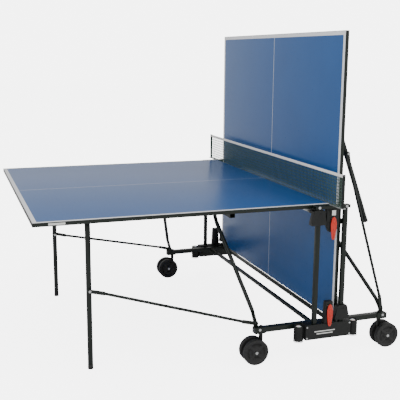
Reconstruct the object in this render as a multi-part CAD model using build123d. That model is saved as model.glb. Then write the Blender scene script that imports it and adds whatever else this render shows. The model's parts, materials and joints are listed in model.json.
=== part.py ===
from build123d import *
import os
from math import atan2, cos, degrees, radians, sin, sqrt

os.makedirs("parts", exist_ok=True)

# Millimetres. +Z is up, X runs along the table and Y across it.
# The origin is on the floor under the middle of the net.

# ---- driving sizes: the playing surface and the net
HALF_LENGTH = 1370.0
TABLE_WIDTH = 1525.0
TABLE_HEIGHT = 760.0
NET_HEIGHT = 152.5
END_GAP = 2.5            # from the net line to the inner end of each half
BOARD_THICK = 16.0
EDGE_Y = TABLE_WIDTH / 2

# ---- the two stored and playing positions of a half
PIVOT_X = 74.0           # slider pivot, from the net line
PIVOT_DEPTH = BOARD_THICK + 16.0     # slider pivot, below the playing surface
FOLD_BASE = 182.0        # height of the net-line end of an upright half

# ---- edge frame
RIM_WALL = 1.5
RIM_DEPTH = BOARD_THICK + RIM_WALL
SHELF_WIDTH = 20.0

# ---- trolley
RAIL_Y = EDGE_Y - 39.5
RAIL_WIDTH = 30.0
RAIL_BOTTOM = 151.0
RAIL_TOP = 176.0
RAIL_END = 350.0
TUBE_WALL = 2.0
CROSS_X = 50.0
CROSS_WIDTH = 17.0
EAR_X = 342.0            # common pivot line of braces and links
EAR_Z = RAIL_TOP + 14.0
EAR_RADIUS = 12.0
EAR_PLATE = 3.0
EAR_OUT = RAIL_Y + RAIL_WIDTH / 2
EAR_IN = RAIL_Y - RAIL_WIDTH / 2
BRACKET_START = 304.0
BRACKET_END = RAIL_END + 8.0
BRACKET_BOTTOM = RAIL_BOTTOM - EAR_PLATE
BRACKET_TOP = RAIL_TOP + 2.0
BRACKET_BOLT_X = 334.0
BRACKET_BOLT_Z = 167.0

# ---- posts, bridge and net arm
SLIDE_GAP = 1.5          # from the table's edge to a slider
SLIDER_WALL = 4.0        # of a slider, between its inner face and the post
POST_X = 71.0
POST_SIZE = 20.0
POST_IN = EDGE_Y + SLIDE_GAP + SLIDER_WALL
POST_OUT = POST_IN + POST_SIZE
POST_Y = (POST_IN + POST_OUT) / 2
BRIDGE_HEIGHT = 15.0
BRIDGE_DEPTH = POST_SIZE + 10.0
BRIDGE_HALF = POST_X + 20.0
ARM_WIDTH = 24.0
ARM_THICK = 3.0
POST_BOTTOM = 120.0
POST_TOP = TABLE_HEIGHT - ARM_THICK - BRIDGE_HEIGHT
NET_POST_Y = EDGE_Y + 113.5
NET_POST_SIZE = 10.0
NET_POST_TOP = TABLE_HEIGHT + NET_HEIGHT + 1.5
TAPE_HEIGHT = 14.0
TAPE_THICK = 3.0
NET_THICK = 1.2
NET_CLEAR = 2.0          # net bottom above the playing surface

# ---- side box and its ball tubes
BOX_HALF = 121.0
BOX_BOTTOM = 107.0
BOX_TOP = 182.0
BOX_FRONT = POST_OUT + 3.0
BOX_BACK = EAR_OUT + 7.0
BOX_WALL = 3.0
COVER_THICK = 4.0
BALL_RADIUS = 20.0
BALL_TUBE_X = 146.0
BALL_TUBE_Y = POST_IN
BALL_TUBE_OUT = 23.0
BALL_TUBE_BORE = 20.6
BALL_TUBE_BOTTOM = 102.0
BALL_TUBE_TOP = 177.0
BALL_LIP = 16.0
BALL_CLEAR = 0.3

# ---- sliders
SLIDER_TOP_WIDTH = 52.0
SLIDER_BASE_WIDTH = 76.0
SLIDER_UP = 10.0
SLIDER_DOWN = 62.0
SLIDER_IN = POST_IN - SLIDER_WALL
SLIDER_OUT = POST_OUT + 8.0
SLIDE_CLEAR = 0.3
STUB_RADIUS = 6.0
STUB_NECK = 4.0
NECK_DEPTH = SLIDER_WALL - 1.0
FIT = 0.05               # radial clearance of every turning fit

# ---- casters
STEM_X = 322.0
AXLE_X = 357.0
WHEEL_RADIUS = 62.5
WHEEL_WIDTH = 24.0
SECTOR_DEPTH = 6.0       # of the four sectors sunk into a wheel's face
WHEEL_INNER = 13.0       # from the caster's middle plane to a wheel's inner face
YOKE_THICK = 15.0
YOKE_COLLAR = 11.0
STEM_RADIUS = 6.0
STEM_NUT = 8.0
AXLE_RADIUS = 4.0
CASTER_GAP = 0.5

# ---- legs, links and braces
LEG_RADIUS = 12.5
LEG_WALL = 1.5
LEG_HALF_SPAN = EDGE_Y - 212.5
LEG_BEND = 60.0
LEG_ALONG = HALF_LENGTH - 264.0      # leg hinge, from the net line
LEG_DEPTH = BOARD_THICK + LEG_RADIUS + 2.5       # leg hinge, below the playing surface
LEG_LEAN = 20.5          # degrees from upright when stored
FOOT_HEIGHT = 24.0
SADDLE_Y = LEG_HALF_SPAN - 130.0
BEAM_SIZE = 25.0
BRACE_DEPTH = BOARD_THICK + BEAM_SIZE + 13.0     # brace hinge, below the playing surface
BRACE_RADIUS = 10.0
BRACE_TOP_Y = EDGE_Y - 272.5
LINK_RADIUS = 7.0
BAR_EYE = 11.0
BAR_TAB = 72.0
BAR_TAB_THICK = 4.5
TUBE_LAP = 6.0           # of a bar's round run over its flattened end
TAB_GAP = 0.5            # from an end bracket's ear to the eye beside it
LINK_FOOT_Y = EAR_IN + TAB_GAP + BAR_TAB_THICK / 2
BRACE_FOOT_Y = EAR_IN - EAR_PLATE - TAB_GAP - BAR_TAB_THICK / 2
LINK_TOP_Y = LEG_HALF_SPAN + LEG_RADIUS + 9.5
BOLT_RADIUS = 4.0
HEAD_RADIUS = 7.0
HEAD_THICK = 5.0

# ---- locks
LOCK_FRONT = POST_OUT + 5.0
LOCK_BACK = POST_IN + 0.5
LEVER_LENGTH = 110.0
LEVER_WIDTH = 30.0
LEVER_THICK = 5.0
LEVER_PIN_Y = LOCK_FRONT + 3.5
LEVER_PIN_RADIUS = 2.0
LEVER_BACK = LEVER_PIN_Y + 4.5
LEVER_CLEAR = 0.4        # from a lever's boss to the housing behind it
LEVER_PIVOT_DOWN = 9.0   # pivot below the lever's top
UPPER_LEVER_TOP = POST_TOP - 36.0
LOWER_LEVER_TOP = BOX_TOP + 98.0

# ---- sizes that follow from the ones above
UPRIGHT_X = PIVOT_X - PIVOT_DEPTH
PIVOT_Z = TABLE_HEIGHT - PIVOT_DEPTH
LEG_HINGE_Z = TABLE_HEIGHT - LEG_DEPTH
BRACE_ALONG = (
    (TABLE_HEIGHT - BRACE_DEPTH - EAR_Z) ** 2 + EAR_X ** 2
    - (UPRIGHT_X + BRACE_DEPTH - EAR_X) ** 2 - (FOLD_BASE - EAR_Z) ** 2
) / (2 * (EAR_X + FOLD_BASE - EAR_Z))
BRACE_LENGTH = sqrt((BRACE_ALONG - EAR_X) ** 2 + (TABLE_HEIGHT - BRACE_DEPTH - EAR_Z) ** 2)
STORED_HINGE_X = UPRIGHT_X + LEG_DEPTH
STORED_HINGE_Z = FOLD_BASE + LEG_ALONG
LEAN = radians(LEG_LEAN)
BOLT_DOWN = (
    (STORED_HINGE_X - EAR_X) ** 2 + (STORED_HINGE_Z - EAR_Z) ** 2
    - (LEG_ALONG - EAR_X) ** 2 - (LEG_HINGE_Z - EAR_Z) ** 2
) / (2 * ((EAR_X - STORED_HINGE_X) * sin(LEAN) + (STORED_HINGE_Z - EAR_Z) * cos(LEAN)
          - (LEG_HINGE_Z - EAR_Z)))
LINK_LENGTH = sqrt((LEG_ALONG - EAR_X) ** 2 + (LEG_HINGE_Z - BOLT_DOWN - EAR_Z) ** 2)


# ---- helpers
def slab(x0, x1, y0, y1, z0, z1):
    return Pos((x0 + x1) / 2, (y0 + y1) / 2, (z0 + z1) / 2) * Box(x1 - x0, y1 - y0, z1 - z0)


def rod_x(radius, x0, x1, y, z):
    return Pos((x0 + x1) / 2, y, z) * Rot(0, 90, 0) * Cylinder(radius, x1 - x0)


def rod_y(radius, y0, y1, x, z):
    return Pos(x, (y0 + y1) / 2, z) * Rot(90, 0, 0) * Cylinder(radius, y1 - y0)


def rod_z(radius, z0, z1, x, y):
    return Pos(x, y, (z0 + z1) / 2) * Cylinder(radius, z1 - z0)


def hex_y(radius, y0, y1, x, z):
    return Pos(x, (y0 + y1) / 2, z) * Rot(90, 0, 0) * extrude(
        RegularPolygon(radius, 6), (y1 - y0) / 2, both=True)


def side_plate(points, y0, y1):
    """A plate cut to an outline in X and Z, from y0 to y1."""
    face = make_face(Polyline(*[(x, 0, z) for x, z in points], close=True))
    solid = extrude(face, y1 - y0, dir=(0, 1, 0))
    return Pos(0, y0, 0) * solid


def flip(shape):
    """The same piece on the far side."""
    return mirror(shape, about=Plane.XZ)


def turn(shape):
    """The same piece at the other end of the table."""
    return Rot(0, 0, 180) * shape


def pair(shape):
    return [shape, flip(shape)]


def four(shape):
    """A piece made at +X, -Y, and its three counterparts."""
    return [shape, flip(shape), turn(shape), turn(flip(shape))]


def save(name, solids):
    flat = []
    for item in solids:
        flat.extend(item.solids())
    export_step(Compound(children=flat) if len(flat) > 1 else flat[0], f"parts/{name}.step")


# ---- trolley: rails, cross tubes and end brackets
def rail():
    y0 = -RAIL_Y - RAIL_WIDTH / 2
    y1 = -RAIL_Y + RAIL_WIDTH / 2
    body = slab(-RAIL_END, RAIL_END, y0, y1, RAIL_BOTTOM, RAIL_TOP)
    body -= slab(-RAIL_END - 1, RAIL_END + 1, y0 + TUBE_WALL, y1 - TUBE_WALL,
                 RAIL_BOTTOM + TUBE_WALL, RAIL_TOP - TUBE_WALL)
    for x in (-STEM_X, STEM_X):
        body -= rod_z(STEM_RADIUS + FIT, RAIL_BOTTOM - 1, RAIL_TOP + 1, x, -RAIL_Y)
    for x in (-BRACKET_BOLT_X, BRACKET_BOLT_X):
        body -= rod_y(BOLT_RADIUS + FIT, y0 - 1, y0 + TUBE_WALL + 1, x, BRACKET_BOLT_Z)
    return body


def cross_tube():
    y = RAIL_Y - RAIL_WIDTH / 2
    x0 = CROSS_X - CROSS_WIDTH / 2
    x1 = CROSS_X + CROSS_WIDTH / 2
    z0 = (RAIL_BOTTOM + RAIL_TOP - CROSS_WIDTH) / 2
    z1 = z0 + CROSS_WIDTH
    body = slab(x0, x1, -y, y, z0, z1)
    return body - slab(x0 + TUBE_WALL, x1 - TUBE_WALL, -y - 1, y + 1,
                       z0 + TUBE_WALL, z1 - TUBE_WALL)


def ear():
    """The inner cheek of an end bracket, with the raised round nose that the bars turn on."""
    y0 = -EAR_IN
    y1 = -EAR_IN + EAR_PLATE
    plate = slab(BRACKET_START, BRACKET_END, y0, y1, BRACKET_BOTTOM, RAIL_TOP)
    plate += slab(EAR_X - EAR_RADIUS, EAR_X + EAR_RADIUS, y0, y1, RAIL_TOP, EAR_Z)
    plate += rod_y(EAR_RADIUS, y0, y1, EAR_X, EAR_Z)
    return plate - rod_y(BOLT_RADIUS + FIT, y0 - 1, y1 + 1, EAR_X, EAR_Z)


def end_bracket():
    """A folded cap round the rail's end: base, outer cheek, end wall and inner cheek."""
    out = -EAR_OUT - EAR_PLATE
    body = slab(BRACKET_START, BRACKET_END, out, -EAR_IN + EAR_PLATE, BRACKET_BOTTOM, RAIL_BOTTOM)
    body += slab(BRACKET_START, BRACKET_END, out, -EAR_OUT, BRACKET_BOTTOM, BRACKET_TOP)
    body += slab(BRACKET_END - EAR_PLATE, BRACKET_END, out, -EAR_IN + EAR_PLATE, BRACKET_BOTTOM,
                 RAIL_TOP)
    body += ear()
    body -= rod_z(STEM_RADIUS + FIT, BRACKET_BOTTOM - 1, RAIL_BOTTOM + 1, STEM_X, -RAIL_Y)
    return body - rod_y(BOLT_RADIUS + FIT, -EAR_OUT - EAR_PLATE - 1, -EAR_OUT + 1,
                        BRACKET_BOLT_X, BRACKET_BOLT_Z)


def bolt_y(tip, seat, x, z):
    """A hexagon bolt: its head stands outside `seat`, its shank runs to `tip`."""
    side = 1 if seat > tip else -1
    head = hex_y(HEAD_RADIUS, min(seat, seat + side * HEAD_THICK),
                 max(seat, seat + side * HEAD_THICK), x, z)
    return head + rod_y(BOLT_RADIUS, min(tip, seat), max(tip, seat), x, z)


save("rails", pair(rail()))
save("cross_tubes", [cross_tube(), turn(cross_tube())])
save("end_brackets", four(end_bracket()))


# ---- posts, their feet and the bridge that ties them
FOOT_HALF = 105.0
FOOT_BOTTOM = 128.0
BRIDGE_IN = POST_Y - BRIDGE_DEPTH / 2
BRIDGE_OUT = POST_Y + BRIDGE_DEPTH / 2
BRIDGE_TOP = POST_TOP + BRIDGE_HEIGHT
BRIDGE_BOLT_Z = POST_TOP + BRIDGE_HEIGHT / 2


def post():
    body = slab(POST_X - POST_SIZE / 2, POST_X + POST_SIZE / 2, -POST_OUT, -POST_IN,
                POST_BOTTOM, POST_TOP)
    return body - slab(POST_X - POST_SIZE / 2 + TUBE_WALL, POST_X + POST_SIZE / 2 - TUBE_WALL,
                       -POST_OUT + TUBE_WALL, -POST_IN - TUBE_WALL,
                       POST_BOTTOM - 1, POST_TOP + 1)


def post_foot():
    body = slab(-FOOT_HALF, FOOT_HALF, -POST_IN, -EAR_OUT, FOOT_BOTTOM, RAIL_TOP)
    return body - slab(-FOOT_HALF - 1, FOOT_HALF + 1, -POST_IN + BOX_WALL, -EAR_OUT - BOX_WALL,
                       FOOT_BOTTOM + BOX_WALL, RAIL_TOP - BOX_WALL)


def bridge():
    body = slab(-BRIDGE_HALF, BRIDGE_HALF, -BRIDGE_OUT, -BRIDGE_IN, POST_TOP, BRIDGE_TOP)
    body -= slab(-BRIDGE_HALF - 1, BRIDGE_HALF + 1, -BRIDGE_OUT + TUBE_WALL,
                 -BRIDGE_IN - TUBE_WALL, POST_TOP + TUBE_WALL, BRIDGE_TOP - TUBE_WALL)
    for x in (-POST_X, POST_X):
        body -= rod_y(BOLT_RADIUS + FIT, -BRIDGE_OUT - 1, -BRIDGE_IN + 1, x, BRIDGE_BOLT_Z)
    return body


save("posts", four(post()))
save("post_feet", pair(post_foot()))
save("post_bridges", pair(bridge()))

bolts = []
bolts += four(bolt_y(-BRIDGE_IN, -BRIDGE_OUT, POST_X, BRIDGE_BOLT_Z))
bolts += four(bolt_y(-EAR_OUT + 4, -EAR_OUT - EAR_PLATE, BRACKET_BOLT_X, BRACKET_BOLT_Z))
bolts += four(rod_y(BOLT_RADIUS, -EAR_IN, -EAR_IN + EAR_PLATE, EAR_X, EAR_Z))
save("bolts", bolts)


# ---- side boxes, covers and balls
SCREW_X = BOX_HALF - 7
SCREW_HIGH = BOX_TOP - 10
SCREW_LOW = BOX_BOTTOM + 10
SCREW_RADIUS = 2.0
SCREW_HEAD = 4.5
POST_HOLE = 0.6


def ball_tube():
    body = rod_z(BALL_TUBE_OUT, BALL_TUBE_BOTTOM, BALL_TUBE_TOP, BALL_TUBE_X, -BALL_TUBE_Y)
    body += slab(BOX_HALF - BOX_WALL, BALL_TUBE_X, -BALL_TUBE_Y - 12, -BALL_TUBE_Y + 12,
                 BOX_BOTTOM + 4, BOX_TOP - 8)
    body -= rod_z(BALL_TUBE_BORE, BALL_TUBE_BOTTOM + 2, BALL_TUBE_TOP + 1,
                  BALL_TUBE_X, -BALL_TUBE_Y)
    return body - rod_z(BALL_LIP, BALL_TUBE_BOTTOM - 1, BALL_TUBE_BOTTOM + 3,
                        BALL_TUBE_X, -BALL_TUBE_Y)


def side_box():
    body = slab(-BOX_HALF, BOX_HALF, -BOX_FRONT, -BOX_BACK, BOX_BOTTOM, BOX_TOP)
    body -= slab(-BOX_HALF + BOX_WALL, BOX_HALF - BOX_WALL, -BOX_FRONT - 1,
                 -BOX_BACK - BOX_WALL, BOX_BOTTOM + BOX_WALL, BOX_TOP - BOX_WALL)
    for x in (-POST_X, POST_X):
        half = POST_SIZE / 2 + POST_HOLE
        body -= slab(x - half, x + half, -POST_Y - half, -POST_Y + half,
                     BOX_TOP - BOX_WALL - 1, BOX_TOP + 1)
    body -= slab(-FOOT_HALF - POST_HOLE, FOOT_HALF + POST_HOLE, -POST_IN, -BOX_BACK + 1,
                 FOOT_BOTTOM - POST_HOLE, RAIL_TOP + POST_HOLE)
    for x in (-SCREW_X, SCREW_X):
        for z in (SCREW_HIGH, SCREW_LOW):
            body += rod_y(SCREW_HEAD, -BOX_FRONT, -BOX_FRONT + 12, x, z)
            body -= rod_y(SCREW_RADIUS + FIT, -BOX_FRONT - 1, -BOX_FRONT + 10, x, z)
    tube = ball_tube()
    return body + tube + turn(flip(tube))


def side_cover():
    body = slab(-BOX_HALF, BOX_HALF, -BOX_FRONT - COVER_THICK, -BOX_FRONT, BOX_BOTTOM, BOX_TOP)
    body = fillet(body.edges().filter_by(Axis.Y), 6)
    front = body.faces().sort_by(Axis.Y)[0]
    body = fillet(front.edges(), 2)
    for x in (-SCREW_X, SCREW_X):
        for z in (SCREW_HIGH, SCREW_LOW):
            body -= rod_y(SCREW_RADIUS + FIT, -BOX_FRONT - COVER_THICK - 1, -BOX_FRONT + 1, x, z)
    return body


def cover_screw(x, z):
    seat = -BOX_FRONT - COVER_THICK
    return rod_y(SCREW_HEAD, seat - 2, seat, x, z) + rod_y(SCREW_RADIUS, seat, -BOX_FRONT + 8, x, z)


screws = []
for z in (SCREW_HIGH, SCREW_LOW):
    screws += four(cover_screw(SCREW_X, z))
save("side_boxes", pair(side_box()))
save("side_covers", pair(side_cover()))
save("cover_screws", screws)

LIP_TOP = BALL_TUBE_BOTTOM + 2
BALL_LOW = LIP_TOP + sqrt(BALL_RADIUS ** 2 - BALL_LIP ** 2) + BALL_CLEAR
BALL_HIGH = BALL_LOW + 2 * BALL_RADIUS + BALL_CLEAR
ENDS = {"right": 1, "left": -1}
SIDES = {"near": -1, "far": 1}
for end, sx in ENDS.items():
    for side, sy in SIDES.items():
        stack = []
        for z in (BALL_LOW, BALL_HIGH):
            stack.append(Pos(sx * BALL_TUBE_X, sy * BALL_TUBE_Y, z) * Sphere(BALL_RADIUS))
        save(f"balls_{end}_{side}", stack)


# ---- net, its posts and arms
ARM_START = LOCK_BACK
ARM_END = NET_POST_Y + 8.0
TAPE_TOP = TABLE_HEIGHT + NET_HEIGHT
TAPE_BOTTOM = TAPE_TOP - TAPE_HEIGHT
NET_END = NET_POST_Y - NET_POST_SIZE / 2
arm = slab(-ARM_WIDTH / 2, ARM_WIDTH / 2, -ARM_END, -ARM_START, BRIDGE_TOP,
           BRIDGE_TOP + ARM_THICK)
ARM_TOP = BRIDGE_TOP + ARM_THICK
net_post = slab(-NET_POST_SIZE / 2, NET_POST_SIZE / 2, -NET_POST_Y - NET_POST_SIZE / 2,
                -NET_END, ARM_TOP, NET_POST_TOP)
net_post = fillet(net_post.edges().filter_by(Axis.Z), 1.5)
save("net_arms", pair(arm))
save("net_posts", pair(net_post))
save("net", [slab(-NET_THICK / 2, NET_THICK / 2, -NET_END, NET_END, TABLE_HEIGHT + NET_CLEAR,
                  TAPE_BOTTOM)])
save("net_tape", [slab(-TAPE_THICK / 2, TAPE_THICK / 2, -NET_END, NET_END, TAPE_BOTTOM,
                       TAPE_TOP)])


# ---- lock housings, levers and their pins
UPPER_PIVOT_Z = UPPER_LEVER_TOP - LEVER_PIVOT_DOWN
LOWER_PIVOT_Z = LOWER_LEVER_TOP - LEVER_PIVOT_DOWN
LUG_IN = 6.5
LUG_OUT = 11.0
LUG_RADIUS = 3.5
BOSS_RADIUS = LEVER_PIN_Y - LOCK_FRONT - LEVER_CLEAR


def lock_housing(outline, pivot_z):
    body = side_plate(outline, -LOCK_FRONT, -LOCK_BACK)
    body = fillet(body.edges().filter_by(Axis.Y), 3)
    for side in (-1, 1):
        x0 = min(side * LUG_IN, side * LUG_OUT)
        x1 = max(side * LUG_IN, side * LUG_OUT)
        lug = rod_x(LUG_RADIUS, x0, x1, -LEVER_PIN_Y, pivot_z)
        lug += slab(x0, x1, -LEVER_PIN_Y, -LOCK_FRONT + 1, pivot_z - LUG_RADIUS,
                    pivot_z + LUG_RADIUS)
        body += lug
    return body - rod_x(LEVER_PIN_RADIUS + FIT, -LUG_OUT - 1, LUG_OUT + 1, -LEVER_PIN_Y, pivot_z)


def upper_housing():
    wide = POST_TOP - 74
    low = POST_TOP - 112
    return lock_housing([(-32, POST_TOP), (-32, wide), (-20, low + 10), (-14, low), (14, low),
                         (20, low + 10), (32, wide), (32, POST_TOP)], UPPER_PIVOT_Z)


def lower_housing():
    high = LOWER_LEVER_TOP + 10
    return lock_housing([(-24, BOX_TOP), (-18, high), (18, high), (24, BOX_TOP)], LOWER_PIVOT_Z)


def lever(top):
    """A leaf-shaped paddle with a raised middle ridge and a boss on its pin."""
    pivot_z = top - LEVER_PIVOT_DOWN
    half = LEVER_WIDTH / 2
    low = top - LEVER_LENGTH
    outline = [(0, top), (half * 0.62, top - 9), (half, top - 34), (half * 0.92, top - 62),
               (half * 0.55, low + 8), (half * 0.3, low), (-half * 0.3, low),
               (-half * 0.55, low + 8), (-half * 0.92, top - 62), (-half, top - 34),
               (-half * 0.62, top - 9)]
    body = side_plate(outline, -LEVER_BACK - LEVER_THICK, -LEVER_BACK)
    front = body.faces().sort_by(Axis.Y)[0]
    body = chamfer(front.edges(), 1.5)
    ridge = side_plate([(0, top - 8), (4, top - 30), (2.5, low + 10), (-2.5, low + 10),
                        (-4, top - 30)], -LEVER_BACK - LEVER_THICK - 2, -LEVER_BACK - 1)
    boss = rod_x(BOSS_RADIUS, -LUG_IN + 1, LUG_IN - 1, -LEVER_PIN_Y, pivot_z)
    boss += slab(-LUG_IN + 1, LUG_IN - 1, -LEVER_BACK - 1, -LEVER_PIN_Y, pivot_z - BOSS_RADIUS,
                 pivot_z + BOSS_RADIUS)
    return body + ridge + boss - rod_x(LEVER_PIN_RADIUS + FIT, -LUG_OUT, LUG_OUT,
                                       -LEVER_PIN_Y, pivot_z)


pins = []
for pivot_z in (UPPER_PIVOT_Z, LOWER_PIVOT_Z):
    pins += pair(rod_x(LEVER_PIN_RADIUS, -LUG_OUT - 1, LUG_OUT + 1, -LEVER_PIN_Y, pivot_z))
save("lock_housings", pair(upper_housing()) + pair(lower_housing()))
save("lever_pins", pins)
save("lever_upper_near", [lever(UPPER_LEVER_TOP)])
save("lever_upper_far", [flip(lever(UPPER_LEVER_TOP))])
save("lever_lower_near", [lever(LOWER_LEVER_TOP)])
save("lever_lower_far", [flip(lever(LOWER_LEVER_TOP))])


# ---- casters: yoke with its stem, axle, and a pair of wheels
YOKE_TOP = BRACKET_BOTTOM - CASTER_GAP
WHEEL_OUTER = WHEEL_INNER + WHEEL_WIDTH


def yoke():
    """An upright stem, trailing an arm between the wheels to their axle."""
    y0 = -RAIL_Y - YOKE_THICK / 2
    y1 = -RAIL_Y + YOKE_THICK / 2
    half = YOKE_THICK / 2
    elbow = WHEEL_RADIUS + 18
    body = slab(STEM_X - half, STEM_X + half, y0, y1, elbow, YOKE_TOP)
    body += side_plate([(STEM_X - half, elbow), (STEM_X + half, elbow),
                        (AXLE_X + 4, WHEEL_RADIUS + 12), (AXLE_X - 4, WHEEL_RADIUS - 12)],
                       y0, y1)
    body += rod_y(12, y0, y1, AXLE_X, WHEEL_RADIUS)
    body += rod_z(YOKE_COLLAR, YOKE_TOP - 3, YOKE_TOP, STEM_X, -RAIL_Y)
    body += rod_z(STEM_RADIUS, YOKE_TOP, RAIL_TOP + 2, STEM_X, -RAIL_Y)
    body += rod_z(STEM_NUT, RAIL_TOP + CASTER_GAP, RAIL_TOP + 7, STEM_X, -RAIL_Y)
    return body - rod_y(AXLE_RADIUS + FIT, y0 - 1, y1 + 1, AXLE_X, WHEEL_RADIUS)


def axle():
    out = WHEEL_OUTER + CASTER_GAP
    body = rod_y(AXLE_RADIUS, -RAIL_Y - out, -RAIL_Y + out, AXLE_X, WHEEL_RADIUS)
    for side in (-1, 1):
        a = -RAIL_Y + side * out
        b = a + side * 4
        body += rod_y(HEAD_RADIUS, min(a, b), max(a, b), AXLE_X, WHEEL_RADIUS)
    return body


def wheel(side):
    """One wheel of a pair; its outer face has four shallow sectors sunk into it."""
    a = -RAIL_Y + side * WHEEL_INNER
    b = -RAIL_Y + side * WHEEL_OUTER
    body = rod_y(WHEEL_RADIUS, min(a, b), max(a, b), AXLE_X, WHEEL_RADIUS)
    body = fillet(body.edges().filter_by(GeomType.CIRCLE), 4)
    c = b - side * SECTOR_DEPTH
    ring = rod_y(45, min(b, c), max(b, c), AXLE_X, WHEEL_RADIUS)
    ring -= rod_y(17, min(b, c) - 1, max(b, c) + 1, AXLE_X, WHEEL_RADIUS)
    for angle in (45, 135):
        spoke = Pos(AXLE_X, b, WHEEL_RADIUS) * Rot(0, angle, 0) * Box(100, 12, 12)
        ring -= spoke
    body -= ring
    return body - rod_y(AXLE_RADIUS + FIT, min(a, b) - 1, max(a, b) + 1, AXLE_X, WHEEL_RADIUS)


wheels = [wheel(-1), wheel(1)]
CORNERS = {
    "right_near": lambda s: s,
    "right_far": flip,
    "left_near": lambda s: turn(flip(s)),
    "left_far": turn,
}
for corner, place in CORNERS.items():
    save(f"caster_yoke_{corner}", [place(yoke())])
    save(f"caster_axle_{corner}", [place(axle())])
    save(f"caster_wheels_{corner}", [place(w) for w in wheels])


# ---- one half of the table, made lying at +X with its playing surface at Z = 0
def in_play(shape):
    """The left half: out flat, at playing height."""
    return Pos(0, 0, TABLE_HEIGHT) * turn(shape)


def stored(shape):
    """The right half: upright, its playing surface facing the net."""
    return Pos(UPRIGHT_X, 0, FOLD_BASE) * Rot(0, -90, 0) * shape


SHELF_IN = EDGE_Y - RIM_WALL - SHELF_WIDTH
BEAM_X0 = BRACE_ALONG - BEAM_SIZE / 2
BEAM_X1 = BRACE_ALONG + BEAM_SIZE / 2


def board():
    return slab(END_GAP + RIM_WALL, HALF_LENGTH - RIM_WALL, -EDGE_Y + RIM_WALL,
                EDGE_Y - RIM_WALL, -BOARD_THICK, 0)


def rim():
    """Folded-steel edge frame: an outer wall round the board and a shelf under it."""
    body = slab(END_GAP, HALF_LENGTH, -EDGE_Y, EDGE_Y, -RIM_DEPTH, 0)
    inset = RIM_WALL + SHELF_WIDTH
    body -= slab(END_GAP + RIM_WALL, HALF_LENGTH - RIM_WALL, -EDGE_Y + RIM_WALL,
                 EDGE_Y - RIM_WALL, -BOARD_THICK, 1)
    return body - slab(END_GAP + inset, HALF_LENGTH - inset, -EDGE_Y + inset, EDGE_Y - inset,
                       -RIM_DEPTH - 1, 1)


def cross_beam():
    end = SHELF_IN
    body = slab(BEAM_X0, BEAM_X1, -end, end, -BOARD_THICK - BEAM_SIZE, -BOARD_THICK)
    return body - slab(BEAM_X0 + TUBE_WALL, BEAM_X1 - TUBE_WALL, -end - 1, end + 1,
                       -BOARD_THICK - BEAM_SIZE + TUBE_WALL, -BOARD_THICK - TUBE_WALL)


STUB_EAR = 6.0
STUB_GAP = 0.5
STUB_LUG = 14.0          # of the ear, below its pivot


def stub_bracket():
    """Ear under the board that turns on a slider's stub; its long side runs outward."""
    out = -SHELF_IN + STUB_GAP
    tail = PIVOT_X + 60
    low = -PIVOT_DEPTH - STUB_LUG
    body = side_plate([(PIVOT_X - 34, -BOARD_THICK), (PIVOT_X - 12, low), (PIVOT_X + 12, low),
                       (tail, -BOARD_THICK - 6), (tail, -BOARD_THICK)], out, out + STUB_EAR)
    return body - rod_y(STUB_RADIUS + FIT, out - 1, out + STUB_EAR + 1, PIVOT_X, -PIVOT_DEPTH)


BRACE_EAR_GAP = 5.0
BRACE_EAR = 3.0
BEAM_UNDER = BOARD_THICK + BEAM_SIZE


def brace_bracket():
    """A channel welded under the cross beam; the brace hinges between its two ears."""
    inner = BRACE_EAR_GAP
    outer = inner + BRACE_EAR
    body = slab(BEAM_X0, BEAM_X1, -BRACE_TOP_Y - outer, -BRACE_TOP_Y + outer,
                -BRACE_DEPTH, -BEAM_UNDER)
    body += rod_y(BEAM_SIZE / 2, -BRACE_TOP_Y - outer, -BRACE_TOP_Y + outer,
                  BRACE_ALONG, -BRACE_DEPTH)
    body -= slab(BEAM_X0 - 1, BEAM_X1 + 1, -BRACE_TOP_Y - inner, -BRACE_TOP_Y + inner,
                 -BRACE_DEPTH - BEAM_SIZE, -BEAM_UNDER - 1.5)
    return body - rod_y(BOLT_RADIUS + FIT, -BRACE_TOP_Y - outer - 1, -BRACE_TOP_Y + outer + 1,
                        BRACE_ALONG, -BRACE_DEPTH)


def brace_bolt():
    outer = BRACE_EAR_GAP + BRACE_EAR
    body = bolt_y(-BRACE_TOP_Y + outer, -BRACE_TOP_Y - outer, BRACE_ALONG, -BRACE_DEPTH)
    return body + hex_y(HEAD_RADIUS, -BRACE_TOP_Y + outer, -BRACE_TOP_Y + outer + HEAD_THICK,
                        BRACE_ALONG, -BRACE_DEPTH)


def leg_saddle():
    """Block under the board in which the leg frame's crossbar turns."""
    half = LEG_RADIUS + 5
    body = slab(LEG_ALONG - half - 8, LEG_ALONG + half + 8, -SADDLE_Y - 14, -SADDLE_Y + 14,
                -BOARD_THICK - 4, -BOARD_THICK)
    body += slab(LEG_ALONG - half, LEG_ALONG + half, -SADDLE_Y - 12, -SADDLE_Y + 12,
                 -LEG_DEPTH, -BOARD_THICK)
    body += rod_y(half, -SADDLE_Y - 12, -SADDLE_Y + 12, LEG_ALONG, -LEG_DEPTH)
    body -= slab(LEG_ALONG - half, LEG_ALONG + half, -SADDLE_Y - 15, -SADDLE_Y + 15,
                 -BOARD_THICK, 0)
    return body - rod_y(LEG_RADIUS + FIT, -SADDLE_Y - 15, -SADDLE_Y + 15, LEG_ALONG, -LEG_DEPTH)


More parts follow.
